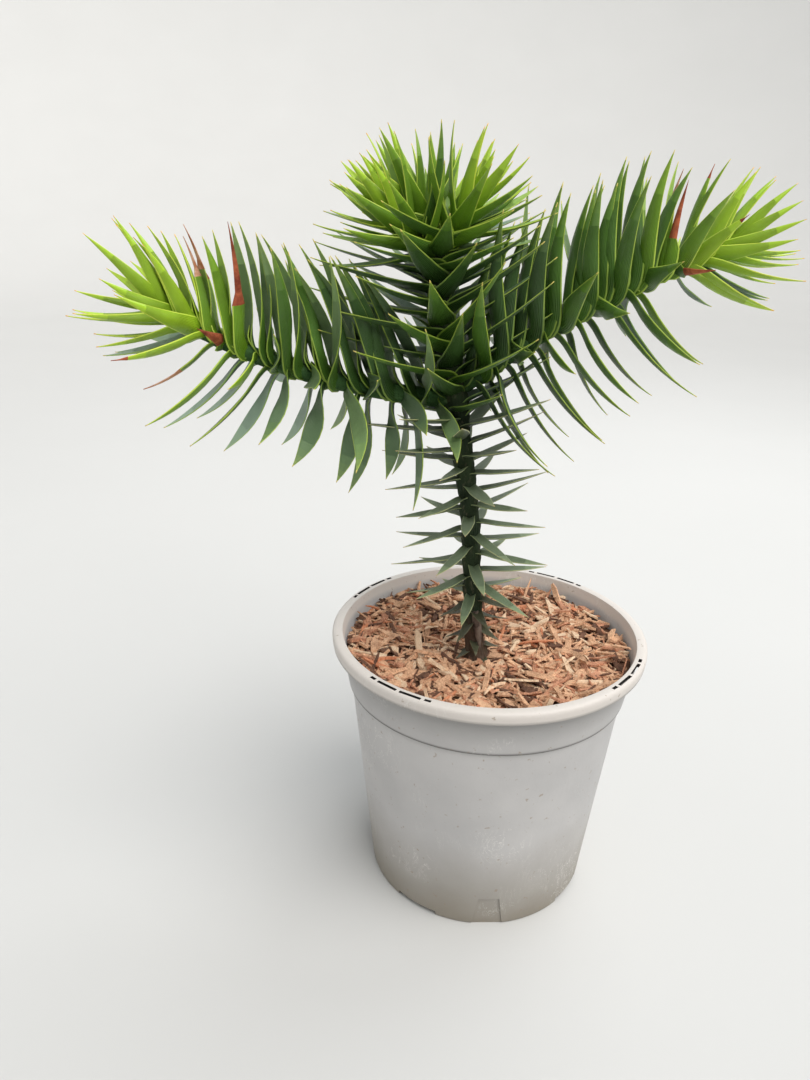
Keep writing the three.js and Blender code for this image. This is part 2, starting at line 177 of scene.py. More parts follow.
TRUNK_LEAVES = dict(
    spacing=(1.6, 1.6, 1.5, 1.15, 1.05), length=(5, 15, 25, 26, 27, 29, 39, 43, 40, 34),
    width=(3.4, 4.6, 5.2, 5.3, 5.6, 6.6, 9.6, 10, 10, 9.4),
    upper=TRUNK_OPENING, lower=TRUNK_OPENING, sweep=0, spread=0,
)

# Boughs and shoots: height at the trunk, turn from +X, rise along it, length, radius at both
# ends, and leaves
LIMBS = {
    "left_bough": (212, 190, (5, 11, 18, 27, 44), 108, (3.6, 2.4), LEFT_BOUGH_LEAVES),
    "right_bough": (215, 10, (32, 32, 25, 21, 24), 113, (3.6, 2.4), RIGHT_BOUGH_LEAVES),
    "left_shoot": (259, 186, (42, 48), 26, (2, 1.5), SHOOT_LEAVES),
    "right_shoot": (261, -5, (56, 64), 22, (2, 1.5), SHOOT_LEAVES),
    "rear_shoot": (261.5, 84, (42, 52), 22, (2, 1.5), SHOOT_LEAVES),
    "middle_shoot": (265.5, 142, (46, 54), 20, (1.8, 1.4), SHOOT_LEAVES),
}
TRUNK_SEED = 7
# Places along the trunk: where its stubs end, where its leader's leaves start, and below which a
# dry scrap hangs
STUBS_END = 30
STUB_SHORTER = 0.6
LEADER_START = 104
SCRAP_TOP = 23

# Leaves set between the others: what their seed and index start from, their spacing, and the
# shares of a bough between which they fill its upper side
MORE_SEED = 11
MORE_INDEX = 1000
BUD_BETWEEN = 1.5
LEADER_BETWEEN = 1.9
FILLED = (0.15, 0.84)

# Shares along a bough: where its buds, fresh leaves and green leaves start, and where hanging
# leaves show their pale side, stop being broad, stop being shed and stop hanging
BUD_START = 0.83
FRESH_START = 0.66
GREEN_START = 0.3
PALE_START = 0.42
BROAD_END = (0.5, 0.66)
SHED_END = 0.8
HANGING_END = 0.9
# How far down a leaf hangs, from 0 on top of its bough to 1 underneath: those on top, at the
# side, hanging, and hanging low enough to be shed
ON_TOP = 0.25
AT_SIDE = (0.28, 0.6)
HANGING = 0.52
HANGING_LOW = 0.75
SIDE_SHORTER = 0.74
# How far a leaf on top and a hanging leaf turn to the light
TOP_FACING = 46
BROAD_FACING = (75, 20)
# How each bough's hanging leaves differ: the side away from the front, how broad those near the
# trunk are, how far they turn edge on and the share that is missing, with the seed of its draw.
# The last value is the spacing of the leaves that fill the upper side.
BOUGH_HANDS = {
    "left_bough": dict(behind=1, broad=1, edge_on=0, shed=0.3, draw=1.3, between=2.6),
    "right_bough": dict(behind=-1, broad=0, edge_on=60, shed=0.12, draw=0.7, between=1.7),
}
# The withered leaves of each bough: where the dry end starts, its colour, and its leaf's shortening
DRY_ENDS = {
    "left_bough": {
        1033: (0.58, "tan", 1), 47: (0.42, "rust", 1), 52: (0.04, "rust", 0.75), 54: (0.5, "tan", 0.75),
        53: (0.6, "rust", 1.05), 55: (0.62, "tan", 1), 57: (0.86, "rust", 1),
    },
    "right_bough": {
        1048: (0.6, "tan", 1.02), 52: (0.34, "rust", 0.92), 55: (0.25, "rust", 0.6), 57: (0.86, "rust", 1),
        60: (0.85, "rust", 0.8),
    },
}
# A place along a leaf that is past its point, for leaves with no dry end
NOWHERE = 2

# A leaf's steps from its foot on the stem to its needle point, with its outline as shares of its
# width: one for a broad clasping leaf and one for a narrower hanging leaf
STEPS = np.array([-0.1, -0.05, 0, 0.05, 0.11, 0.19, 0.28, 0.38, 0.48, 0.58, 0.68, 0.77, 0.85, 0.92, 0.97, 1])
BROAD = np.array([0.7, 0.95, 1, 1, 0.95, 0.88, 0.79, 0.69, 0.59, 0.48, 0.37, 0.28, 0.19, 0.1, 0.05, 0.02])
NARROW = np.array([0.4, 0.62, 0.7, 0.73, 0.79, 0.88, 0.97, 1, 0.97, 0.88, 0.74, 0.57, 0.38, 0.2, 0.08, 0.02])
SHRIVEL = 0.55
# The points round a leaf's section: how far across, and on which face
RING_ACROSS = np.array([-1, -0.91, -0.5, 0, 0.5, 0.91, 1, 0.91, 0.5, 0, -0.5, -0.91])
RING_SIDE = np.array([0, 1, 1, 1, 1, 1, 0, -1, -1, -1, -1, -1])
EDGE_COLUMNS = (0, 5, 6, 11)
OUTER_COLUMN = 8
# The step at which a leaf's turn to the light is worked out
LIGHT_ROW = 9
# Bands along a leaf's faces and along its edges, each with a share of its tip's colour
FACE_BANDS = ((0.68, 0.0), (0.77, 0.03), (0.85, 0.07), (0.92, 0.15), (0.965, 0.32))
EDGE_BANDS = ((0.25, 0.0), (0.5, 0.2), (0.76, 0.5), (0.965, 0.85))

# Each kind of leaf: its outer face, inner face and edge, and the colour that its end turns to
KINDS = {
    "bud": ((0.34, 0.55, 0.026), (0.41, 0.61, 0.055), (0.54, 0.70, 0.07), (0.68, 0.70, 0.07)),
    "fresh": ((0.155, 0.305, 0.016), (0.24, 0.40, 0.07), (0.44, 0.60, 0.07), (0.58, 0.66, 0.08)),
    "green": ((0.078, 0.18, 0.021), (0.16, 0.26, 0.095), (0.27, 0.40, 0.05), (0.50, 0.62, 0.07)),
    "deep": ((0.041, 0.098, 0.019), (0.11, 0.185, 0.085), (0.20, 0.31, 0.05), (0.46, 0.58, 0.07)),
    "pale": ((0.03, 0.11, 0.02), (0.30, 0.42, 0.31), (0.24, 0.40, 0.09), (0.42, 0.56, 0.10)),
    "shaded": ((0.06, 0.12, 0.045), (0.18, 0.27, 0.19), (0.20, 0.31, 0.08), (0.44, 0.56, 0.10)),
    "dull": ((0.07, 0.10, 0.046), (0.155, 0.21, 0.115), (0.30, 0.36, 0.16), (0.56, 0.54, 0.26)),
    "stub": ((0.05, 0.05, 0.026), (0.085, 0.088, 0.045), (0.15, 0.14, 0.07), (0.16, 0.12, 0.07)),
}
FACES = ("outer", "inner", "edge")
FACE_ROUGHNESS = {"outer": 0.36, "inner": 0.46}
POINTS = {"bud": (0.85, 0.50, 0.08), "dull": (0.60, 0.46, 0.22), "stub": (0.2, 0.13, 0.07)}
USUAL_POINT = (0.66, 0.55, 0.13)
# The dark and pale patches of a withered end
DRY = {
    "rust": ((0.22, 0.045, 0.025), (0.52, 0.14, 0.06)),
    "tan": ((0.50, 0.20, 0.10), (0.72, 0.44, 0.30)),
    "grey": ((0.07, 0.05, 0.042), (0.24, 0.18, 0.14)),
}


def random_at(seed):
    """A value from 0 to 1 that is always the same for a seed."""
    value = sin(seed * 12.9898 + 4.1414) * 43758.5453
    return value - floor(value)


def mix(values, share):
    """The value of an evenly spaced list at a share from 0 to 1."""
    at = (len(values) - 1) * min(max(share, 0), 1)
    low = min(int(at), len(values) - 2)
    return values[low] + (values[low + 1] - values[low]) * (at - low)


def unit(vector):
    return vector / np.linalg.norm(vector)


def smooth_step(low, high, value):
    share = np.clip((value - low) / (high - low), 0, 1)
    return share * share * (3 - 2 * share)


# The way that leaf faces turn for light
LIGHT = unit(np.array((-0.1, -1, 0.35)))


def turned(first, second, turn):
    """The first direction, turned toward the second."""
    return first * cos(radians(turn)) + second * sin(radians(turn))


class Record(SimpleNamespace):
    """Named values of one stem or leaf."""

    def but(self, **values):
        """A copy with some values changed."""
        return Record(**{**vars(self), **values})


class Line:
    """A smooth line through points, measured along its length."""

    def __init__(self, points, steps=60):
        knots = [np.array(point, float) for point in points]
        knots = [2 * knots[0] - knots[1], *knots, 2 * knots[-1] - knots[-2]]
        dense = [knots[1]]
        for four in zip(knots, knots[1:], knots[2:], knots[3:]):
            before, start, end, after = four
            gaps = [max(np.linalg.norm(b - a), 1e-6) ** 0.5 for a, b in zip(four, four[1:])]
            first = (start - before) / gaps[0] - (end - before) / (gaps[0] + gaps[1])
            first = (first + (end - start) / gaps[1]) * gaps[1]
            last = (end - start) / gaps[1] - (after - start) / (gaps[1] + gaps[2])
            last = (last + (after - end) / gaps[2]) * gaps[1]
            for step in range(1, steps + 1):
                t = step / steps
                bend = (-3 * start + 3 * end - 2 * first - last) * t * t
                bend += (2 * start - 2 * end + first + last) * t**3
                dense.append(start + first * t + bend)
        self.points = np.array(dense)
        hops = np.linalg.norm(np.diff(self.points, axis=0), axis=1)
        self.measure = np.concatenate([[0], np.cumsum(hops)])
        self.length = self.measure[-1]

    def at(self, along):
        return np.array([np.interp(along, self.measure, self.points[:, axis]) for axis in range(3)])

    def frame(self, along):
        """The point, the direction, and two directions across it, the first the more upward."""
        low, high = max(along - 0.5, 0), min(along + 0.5, self.length)
        forward = unit(self.at(high) - self.at(low))
        upright = np.array((0, -1, 0) if abs(forward[2]) > 0.9 else (0, 0, 1), float)
        across = unit(upright - forward * (forward @ upright))
        return self.at(along), forward, across, np.cross(forward, across)


def limb_line(height, turn, rises, reach, trunk):
    """The line of a bough or shoot, from the trunk's middle and a little past the limb's end."""
    turn, steps, spare = radians(turn), 12, 10
    alongs = np.linspace(0, trunk.length, 401)
    points = [next(trunk.at(along) for along in alongs if trunk.at(along)[2] >= height)]
    for step in range(steps):
        rise = radians(mix(rises, (step + 0.5) / steps))
        level = cos(rise)
        heading = np.array((level * cos(turn), level * sin(turn), sin(rise)))
        points.append(points[-1] + heading * (reach + spare) / steps)
    return Line(points)


def trunk_radius(z):
    flare = TRUNK_FLARE * exp((TRUNK_CUT - z) / (TRUNK_FLARE_HEIGHT / 2))
    swelling = WHORL_SWELLING * exp(-(((z - WHORL) / WHORL_REACH) ** 2))
    top = TRUNK_LEAN[-1][1]
    return mix(TRUNK_RADIUS, (z - TRUNK_CUT) / (top - TRUNK_CUT)) + flare + swelling


def build_stems():
    """The trunk and limbs: each one's line, length, leaf rule, seed and radius at a place along it."""
    trunk = Line([(x, TRUNK_Y, z) for x, z in TRUNK_LEAN])
    stems = {"trunk": Record(
        line=trunk, reach=trunk.length, rule=TRUNK_LEAVES, seed=TRUNK_SEED,
        radius=lambda along: trunk_radius(trunk.at(along)[2]),
    )}
    for name, (height, turn, rises, reach, radii, rule) in LIMBS.items():
        stems[name] = Record(
            line=limb_line(height, turn, rises, reach, trunk), reach=reach, rule=rule, seed=height,
            radius=lambda along, radii=radii, reach=reach: mix(radii, along / reach),
        )
    return stems


def mesh_object(name, points, faces, looks, slots=None, uvs=None, smooth=True):
    """An object made of points in millimetres, with a look for each face."""
    mesh = bpy.data.meshes.new(name)
    mesh.from_pydata((np.asarray(points, float) * MM).tolist(), [], faces)
    for look in looks:
        mesh.materials.append(look)
    if slots is not None:
        mesh.polygons.foreach_set("material_index", np.asarray(slots, np.int32))
    mesh.polygons.foreach_set("use_smooth", [smooth] * len(mesh.polygons))
    if uvs is not None:
        corners = np.zeros(len(mesh.loops), np.int32)
        mesh.loops.foreach_get("vertex_index", corners)
        layer = mesh.uv_layers.new(name="UVMap")
        layer.data.foreach_set("uv", np.asarray(uvs, np.float32)[corners].ravel())
    mesh.validate()
    mesh.update()
    return linked(name, mesh)


def linked(name, data):
    """A new object of the scene that shows a mesh, light or camera."""
    thing = bpy.data.objects.new(name, data)
    bpy.context.scene.collection.objects.link(thing)
    return thing


def place(piece, slot, *nodes):
    """Fixes a finished piece to the part in place of its nodes."""
    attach(piece, "root")
    if nodes:
        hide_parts(*nodes)


def grid_faces(rows, columns):
    """Faces of a grid whose rows are rings of points."""
    faces = []
    for row in range(rows - 1):
        for column in range(columns):
            after = (column + 1) % columns
            low, high = row * columns, (row + 1) * columns
            faces.append((low + column, low + after, high + after, high + column))
    return faces


def end_faces(rows, columns):
    """The faces that close a grid of rings at its first and last row."""
    return [tuple(reversed(range(columns))), tuple(range((rows - 1) * columns, rows * columns))]


def shifted(faces, base):
    return [tuple(base + corner for corner in face) for face in faces]


class Look:
    """A material with one shader, and short calls that add nodes to it."""

    def __init__(self, name, roughness=0.5, specular=0.5):
        self.material = bpy.data.materials.new(name)
        self.material.use_nodes = True
        self.tree = self.material.node_tree
        self.shader = self.tree.nodes["Principled BSDF"]
        self.feed(self.shader.inputs["Roughness"], roughness)
        self.feed(self.shader.inputs["Specular IOR Level"], specular)
        self.normal = None

    def feed(self, socket, value):
        """Links a node's output to a socket, or gives it a plain value."""
        if isinstance(value, bpy.types.NodeSocket):
            self.tree.links.new(value, socket)
        elif socket.type == "RGBA":
            socket.default_value = (*value, 1)
        else:
            socket.default_value = value

    def node(self, kind, sockets, **settings):
        node = self.tree.nodes.new(kind)
        for key, value in settings.items():
            setattr(node, key, value)
        for key, value in sockets.items():
            self.feed(node.inputs[key], value)
        return node

    def coords(self, stretch=(1, 1, 1), kind="Object"):
        source = self.node("ShaderNodeTexCoord", {}).outputs[kind]
        return self.node("ShaderNodeMapping", {"Vector": source, "Scale": stretch}).outputs["Vector"]

    def height(self):
        return self.node("ShaderNodeSeparateXYZ", {"Vector": self.coords()}).outputs["Z"]

    def noise(self, scale, detail=4, roughness=0.5, distortion=0, vector=None):
        vector = vector or self.coords()
        sockets = {"Vector": vector, "Scale": scale, "Detail": detail, "Roughness": roughness}
        return self.node("ShaderNodeTexNoise", {**sockets, "Distortion": distortion}).outputs["Fac"]

    def ramp(self, value, low, high):
        """0 below low and 1 above high."""
        sockets = {"Value": value, "From Min": low, "From Max": high}
        return self.node("ShaderNodeMapRange", sockets, clamp=True).outputs["Result"]

    def ramp_mm(self, value, low, high):
        return self.ramp(value, low * MM, high * MM)

    def maths(self, operation, first, second=0):
        return self.node("ShaderNodeMath", {0: first, 1: second}, operation=operation).outputs[0]

    times = partialmethod(maths, "MULTIPLY")
    plus = partialmethod(maths, "ADD")
    minus = partialmethod(maths, "SUBTRACT")

    def apart(self, first, second):
        """How far two values are apart, either way."""
        return self.maths("ABSOLUTE", self.minus(first, second))

    def blend(self, share, first, second):
        """first where share is 0 and second where it is 1."""
        return self.node("ShaderNodeMix", {0: share, 6: first, 7: second}, data_type="RGBA").outputs[2]

    def colour(self, value):
        self.feed(self.shader.inputs["Base Color"], value)

    def rough(self, share, low, high):
        sockets = {"Value": share, "To Min": low, "To Max": high}
        self.feed(self.shader.inputs["Roughness"], self.node("ShaderNodeMapRange", sockets).outputs["Result"])

    def bump(self, height, distance):
        """Raises the surface by up to a distance in millimetres, on top of the bumps before it."""
        sockets = {"Height": height, "Distance": distance * MM, "Strength": 1}
        if self.normal:
            sockets["Normal"] = self.normal
        self.normal = self.node("ShaderNodeBump", sockets).outputs["Normal"]
        self.feed(self.shader.inputs["Normal"], self.normal)


def leaf_look(name, first, second, roughness):
    """A leathery leaf face: two close greens in soft patches, and fine veins along the blade."""
    look = Look(name, roughness)
    along = look.node("ShaderNodeSeparateXYZ", {"Vector": look.coords(kind="UV")}).outputs["Y"]
    rising = look.times(look.ramp(along, 0, 1), 0.55)
    patches = look.times(look.ramp(look.noise(90, 3), 0.35, 0.65), 0.45)
    look.colour(look.blend(look.plus(rising, patches), first, second))
    look.rough(look.noise(160, 2), roughness - 0.07, roughness + 0.08)
    sockets = {"Vector": look.coords(kind="UV"), "Scale": 4.6, "Distortion": 0.6, "Detail": 1}
    veins = look.node("ShaderNodeTexWave", sockets, bands_direction="X")
    look.bump(veins.outputs["Fac"], 0.12)
    look.bump(look.noise(900, 2), 0.05)
    return look.material


def plain_look(name, colour, roughness=0.45):
    """One colour with a finely grained surface, as on a leaf's edge or point."""
    look = Look(name, roughness)
    look.colour(colour)
    look.bump(look.noise(1200, 3), 0.06)
    return look.material


def dry_look(name, dark, pale):
    """A withered end: patchy brown, finely wrinkled along its length."""
    look = Look(name, 0.7, 0.2)
    patches = look.noise(230, 4, 0.6, 0.5)
    look.colour(look.blend(look.ramp(patches, 0.38, 0.62), dark, pale))
    look.bump(look.noise(6, 4, 0.6, 0.3, look.coords((3, 0.6, 1), "UV")), 0.3)
    return look.material


def shaded_collar(look, height, colour):
    """The pot's colour with painted shade on the collar and painted shadow lines at its step and under the
    lip.
    """
    reach = look.node("ShaderNodeVectorMath", {0: look.coords((1, 1, 0))}, operation="LENGTH")
    sloped = look.minus(reach.outputs["Value"], look.times(height, COLLAR_SLOPE))
    outside = look.ramp_mm(sloped, *COLLAR_SKIN)
    step = look.ramp_mm(look.apart(height, STEP_LINE * MM), *STEP_LINE_FADE)
    painted_shades = [(look.ramp_mm(height, low, high), most, COLLAR_SHADE) for low, high, most in COLLAR_SHADES]
    painted_shades += [(step, 0.92, CREASE_SHADOW), (look.ramp_mm(height, *LIP_LINE), 0.6, CREASE_SHADOW)]
    for share, most, dark in painted_shades:
        colour = look.blend(look.times(outside, look.times(share, most)), colour, dark)
    return colour


def pot_look():
    """Taupe moulded plastic with painted shade on its collar, paler from its rim up, scuffed on its side and
    grimy near its foot.
    """
    look = Look("pot_plastic", 0.5)
    height = look.height()
    colour = look.blend(look.ramp(look.noise(22, 4, 0.6), 0.35, 0.7), POT_DARK, POT_PALE)
    colour = shaded_collar(look, height, colour)
    wavy = look.plus(height, look.times(look.noise(38, 4), GRIME_WAVES * MM))
    colour = look.blend(look.ramp_mm(wavy, *GRIME_FADE), colour, GRIME)
    colour = look.blend(look.ramp_mm(height, *RIM_FADE), colour, PALER_RIM)
    specks = look.ramp(look.noise(420, 2, 0.6), 0.68, 0.74)
    colour = look.blend(look.times(specks, 0.6), colour, SPECK)
    scratches = look.noise(130, 5, 0.65, 2.2, look.coords((1, 1, 0.35)))
    thin = look.ramp(look.apart(scratches, 0.5), 0.008, 0.002)
    where = look.ramp(look.noise(34, 2), 0.52, 0.62)
    look.colour(look.blend(look.times(look.times(thin, where), 0.75), colour, SCUFF))
    look.rough(look.noise(60, 4), 0.42, 0.62)
    look.bump(look.noise(700, 3), 0.05)
    look.bump(look.noise(45, 3), 0.25)
    return look.material


def compost_look():
    """Dark damp crumbs."""
    look = Look("compost_crumbs", 0.9)
    crumbs = look.noise(450, 6, 0.65)
    look.colour(look.blend(look.ramp(crumbs, 0.35, 0.7), (0.018, 0.011, 0.007), (0.07, 0.042, 0.025)))
    look.bump(crumbs, 1.2)
    return look.material


def chip_look(name, dark, pale):
    """Shredded bark or wood with its grain along the chip."""
    look = Look(name, 0.85, 0.25)
    grain = look.noise(5, 5, 0.65, 0.4, look.coords((1.2, 9, 1), "UV"))
    both = look.plus(look.times(grain, 0.7), look.times(look.noise(260, 3), 0.3))
    look.colour(look.blend(look.ramp(both, 0.38, 0.58), dark, pale))
    look.bump(grain, 0.5)
    return look.material


def bark_look(name, dark, mid, pale, flaky=0.0):
    """Young bark: green with cracks round the stem, and brown and flaky up to a height."""
    look = Look(name, 0.8, 0.3)
    colour = look.blend(look.ramp(look.noise(90, 4, 0.6), 0.35, 0.65), dark, mid)
    wavy = look.plus(look.height(), look.times(look.noise(120, 3), 12 * MM))
    colour = look.blend(look.ramp_mm(wavy, flaky + 6, flaky - 4), colour, (0.085, 0.055, 0.036))
    flecks = look.ramp(look.noise(330, 5, 0.7, 0.8, look.coords((1, 1, 0.5))), 0.56, 0.7)
    look.colour(look.blend(flecks, colour, pale))
    look.bump(look.noise(420, 5, 0.65, 0.5, look.coords((1, 1, 0.6))), 0.8)
    return look.material


def stepped(radius, z, *steps):
    """Points of a section, each by how far out and up it lies from one point."""
    return [(radius + out, z + up) for out, up in steps]


def straight_run(radius, z, out, up, count):
    """The points that part a straight run into equal steps."""
    return [(radius + out * step / count, z + up * (step / count)) for step in range(1, count)]


def pot_profile():
    """The pot's section as (radius, height) points, with small rounds at its edges."""
    lip_inside = RIM_RADIUS - LIP_THICKNESS
    flange_foot = POT_HEIGHT - FLANGE_THICKNESS
    collar = (COLLAR_FOOT_RADIUS, COLLAR_FOOT + 0.5)
    return [
        (0, 0),
        *stepped(BASE_RADIUS, 0, (-6, 0), (-1, 0), (-0.4, 0.15), (-0.1, 0.45), (0, 0.8)),
        *straight_run(BASE_RADIUS, 0.8, SHOULDER_RADIUS - BASE_RADIUS, COLLAR_FOOT - 2.4, 24),
        *stepped(SHOULDER_RADIUS, COLLAR_FOOT, (0, -1.3), (0.02, -0.9), (0.3, -0.55)),
        *stepped(COLLAR_FOOT_RADIUS, COLLAR_FOOT, (-0.5, -0.4), (-0.12, -0.2), (0, 0.2)),
        *straight_run(*collar, COLLAR_TOP_RADIUS - collar[0], flange_foot - collar[1], 8),
        *stepped(COLLAR_TOP_RADIUS, flange_foot, (0, 0), (0.5, 0)),
        *stepped(lip_inside, flange_foot, (-0.4, 0), (0, -0.4)),
        *stepped(lip_inside, LIP_FOOT, (0, 0.3), (0.3, 0)),
        *stepped(RIM_RADIUS, LIP_FOOT, (-0.7, 0), (-0.35, 0.15), (-0.25, 0.6), (-0.05, 2.2)),
        *stepped(RIM_RADIUS, POT_HEIGHT, (0, -1.7), (-0.12, -0.9), (-0.5, -0.35), (-1.1, -0.05), (-1.8, 0)),
        *stepped(COLLAR_TOP_RADIUS - WALL, POT_HEIGHT, (0.7, 0), (0.2, -0.15), (0, -0.6)),
        (COLLAR_FOOT_RADIUS - WALL, COLLAR_FOOT),
        (SHOULDER_RADIUS - WALL, COLLAR_FOOT - 2),
        *stepped(BASE_RADIUS - WALL, POT_FLOOR, (0, 1), (-1, 0)),
        (0, POT_FLOOR),
    ]


def turned_points(profile, sides):
    turns = np.linspace(0, 2 * pi, sides, endpoint=False)
    return [(radius * cos(turn), radius * sin(turn), z) for radius, z in profile for turn in turns]


BOX_FACES = ((3, 2, 1, 0), (4, 5, 6, 7), (0, 1, 5, 4), (1, 2, 6, 5), (2, 3, 7, 6), (3, 0, 4, 7))


def square_to_side(turn):
    """The directions outward and sideways at a turn round the pot."""
    turn = radians(turn)
    return np.array((cos(turn), sin(turn), 0)), np.array((-sin(turn), cos(turn), 0))


def cutter_box(length, depth, height, radius, turn, z):
    """The corners of a box set square to the pot's side."""
    out, side = square_to_side(turn)
    middle = out * radius + np.array((0, 0, z))
    return [
        middle + out * depth / 2 * a + side * length / 2 * b + np.array((0, 0, height / 2 * c))
        for c in (-1, 1)
        for a, b in ((-1, -1), (1, -1), (1, 1), (-1, 1))
    ]


def panel_cutter(turn):
    """The corners of a wedge that cuts the shallow recess above the foot, narrower at its top."""
    slope = atan2(SHOULDER_RADIUS - BASE_RADIUS, COLLAR_FOOT)
    out, side = square_to_side(turn)
    corners = []
    for z, half in ((-1, PANEL_FOOT_WIDTH / 2), (PANEL_HEIGHT, PANEL_TOP_WIDTH / 2)):
        face = BASE_RADIUS - PANEL_DEPTH - 0.5 + z * tan(slope)
        for radius, hand in ((face, -1), (face + 6, -1), (face + 6, 1), (face, 1)):
            corners.append(out * radius + side * half * hand + np.array((0, 0, z)))
    return corners


def pot_cutters():
    boxes = []
    whole = sum(SLOT_LENGTHS) + SLOT_GAP * (len(SLOT_LENGTHS) - 1)
    for corner in range(CORNERS):
        turn = FIRST_CORNER + 360 * corner / CORNERS
        start = -whole / 2
        for length in SLOT_LENGTHS:
            at = turn + degrees((start + length / 2) / SLOT_RADIUS)
            boxes.append(cutter_box(length, SLOT_WIDTH, 3 * FLANGE_THICKNESS, SLOT_RADIUS, at, POT_HEIGHT))
            start += length + SLOT_GAP
        width, depth, height = NOTCH
        boxes.append(cutter_box(width, 2 * depth, 2 * height, BASE_RADIUS, turn, 0))
        width, depth, radius = DRAIN
        boxes.append(cutter_box(width, depth, 4 * POT_FLOOR, radius, turn, 0))
        boxes.append(panel_cutter(turn + PANEL_TURN))
    return boxes


def cut_away(piece, boxes):
    """Takes boxes, each given by its corners, out of a piece."""
    points = [corner for corners in boxes for corner in corners]
    faces = [face for index in range(len(boxes)) for face in shifted(BOX_FACES, 8 * index)]
    cutter = mesh_object("cutter", points, faces, [])
    change = piece.modifiers.new("cut", "BOOLEAN")
    change.operation = "DIFFERENCE"
    change.solver = "EXACT"
    change.use_self = True
    change.object = cutter
    graph = bpy.context.evaluated_depsgraph_get()
    mesh = bpy.data.meshes.new_from_object(piece.evaluated_get(graph))
    piece.modifiers.clear()
    piece.data = mesh
    bpy.data.objects.remove(cutter)


def darken_slots(mesh):
    """Gives the walls of the rim's slots a near-black look, painted shade down in the slots."""
    mesh.materials.append(plain_look("slot_painted_shade", (0.012, 0.010, 0.009), 0.8))
    for face in mesh.polygons:
        at = face.center / MM
        near = abs(hypot(at.x, at.y) - SLOT_RADIUS) < 0.6 * SLOT_WIDTH
        if near and POT_HEIGHT - SLOT_DEPTH_SEEN < at.z < POT_HEIGHT - 0.1:
            face.material_index = 1


def build_pot():
    profile = pot_profile()
    points = turned_points(profile, POT_SIDES)
    pot = mesh_object("nursery_pot", points, grid_faces(len(profile), POT_SIDES), [pot_look()])
    work = bmesh.new()
    work.from_mesh(pot.data)
    bmesh.ops.remove_doubles(work, verts=work.verts, dist=1e-7)
    bmesh.ops.recalc_face_normals(work, faces=work.faces)
    work.to_mesh(pot.data)
    work.free()
    cut_away(pot, pot_cutters())
    darken_slots(pot.data)
    pot.data.set_sharp_from_angle(angle=radians(32))
    place(pot, "pot", "pot")


def mulch_height(x, y):
    reach = hypot(x - TRUNK_LEAN[0][0], y - TRUNK_Y)
    if reach < MULCH_SEAT:
        return MULCH_AT_TRUNK
    lumps = sin(0.33 * x + 2 * sin(0.19 * y)) * cos(0.29 * y + sin(0.23 * x))
    slope = mix((MULCH_AT_TRUNK, MULCH_AT_WALL), (reach - MULCH_SEAT) / MULCH_SLOPE_REACH)
    return slope + MULCH_LUMPS * lumps


def build_mulch_bed():
    """The dark bed under the loose chips, down to a little below its surface at the wall."""
    rings, sides, depth, crumbs, taper = 48, 160, 1.2, 0.8, 0.96
    points = []
    for ring in range(rings, 0, -1):
        radius = MULCH_RADIUS * ring / rings
        for side in range(sides):
            turn = 2 * pi * side / sides
            x, y = radius * cos(turn), radius * sin(turn)
            points.append((x, y, mulch_height(x, y) - depth + crumbs * random_at(ring * 977 + side)))
    skirt = [(x * taper, y * taper, BED_FOOT) for x, y, _ in points[:sides]]
    faces = grid_faces(rings + 1, sides) + end_faces(rings + 1, sides)[1:]
    look = chip_look("mulch_bed_crumbs", (0.045, 0.02, 0.012), (0.16, 0.075, 0.04))
    return mesh_object("mulch_bed", skirt + points, faces, [look])


def chip_shape(rng, length, width, thickness):
    """A torn sliver of bark lying along X: outline, a little bend, and a top narrower than its foot."""
    count = 5
    xs = np.linspace(-0.5, 0.5, count) * length
    first, last = rng.uniform(0.15, 0.9, 2)
    halves = np.array([first, 0.9, 1.0, 0.9, last]) * width / 2
    edges = []
    for hand in (1, -1):
        jagged = xs + rng.normal(0, 0.05 * length, count)
        edges.append(np.stack([jagged, hand * halves * rng.uniform(0.7, 1.15, count)], 1))
    outline = np.concatenate([edges[1], edges[0][::-1]])
    bend = rng.normal(0, 0.05) * length
    curl = rng.normal(0, 0.18) * width
    lift = bend * (2 * outline[:, 0] / length) ** 2 + curl * (2 * outline[:, 1] / width) ** 2
    foot = np.column_stack([outline, lift])
    top = np.column_stack([outline * 0.93, lift + thickness * rng.uniform(0.7, 1.2, len(outline))])
    return np.concatenate([foot, top])


def chip_faces():
    """The strip of faces under and on a chip, and the band round its edge."""
    faces = []
    for step in range(4):
        a, b, c, d = step, step + 1, 8 - step, 9 - step
        faces.append((d, c, b, a))
        faces.append((a + 10, b + 10, c + 10, d + 10))
    return faces + grid_faces(2, 10)


def chip_matrix(rng, tilt):
    """A turn about Z and a lean, as a matrix whose columns are the chip's own axes."""
    yaw = rng.uniform(0, 2 * pi)
    lean = Matrix.Rotation(yaw, 3, "Z") @ Matrix.Rotation(rng.normal(0, tilt), 3, "Y")
    return np.array(lean @ Matrix.Rotation(rng.normal(0, tilt * 1.4), 3, "X"))


def chip_sizes(rng):
    """Length, width and thickness of one chip."""
    draw = rng.random()
    ranges = next(ranges for limit, *ranges in CHIP_SORTS if draw < limit)
    return [rng.uniform(*ends) for ends in ranges]


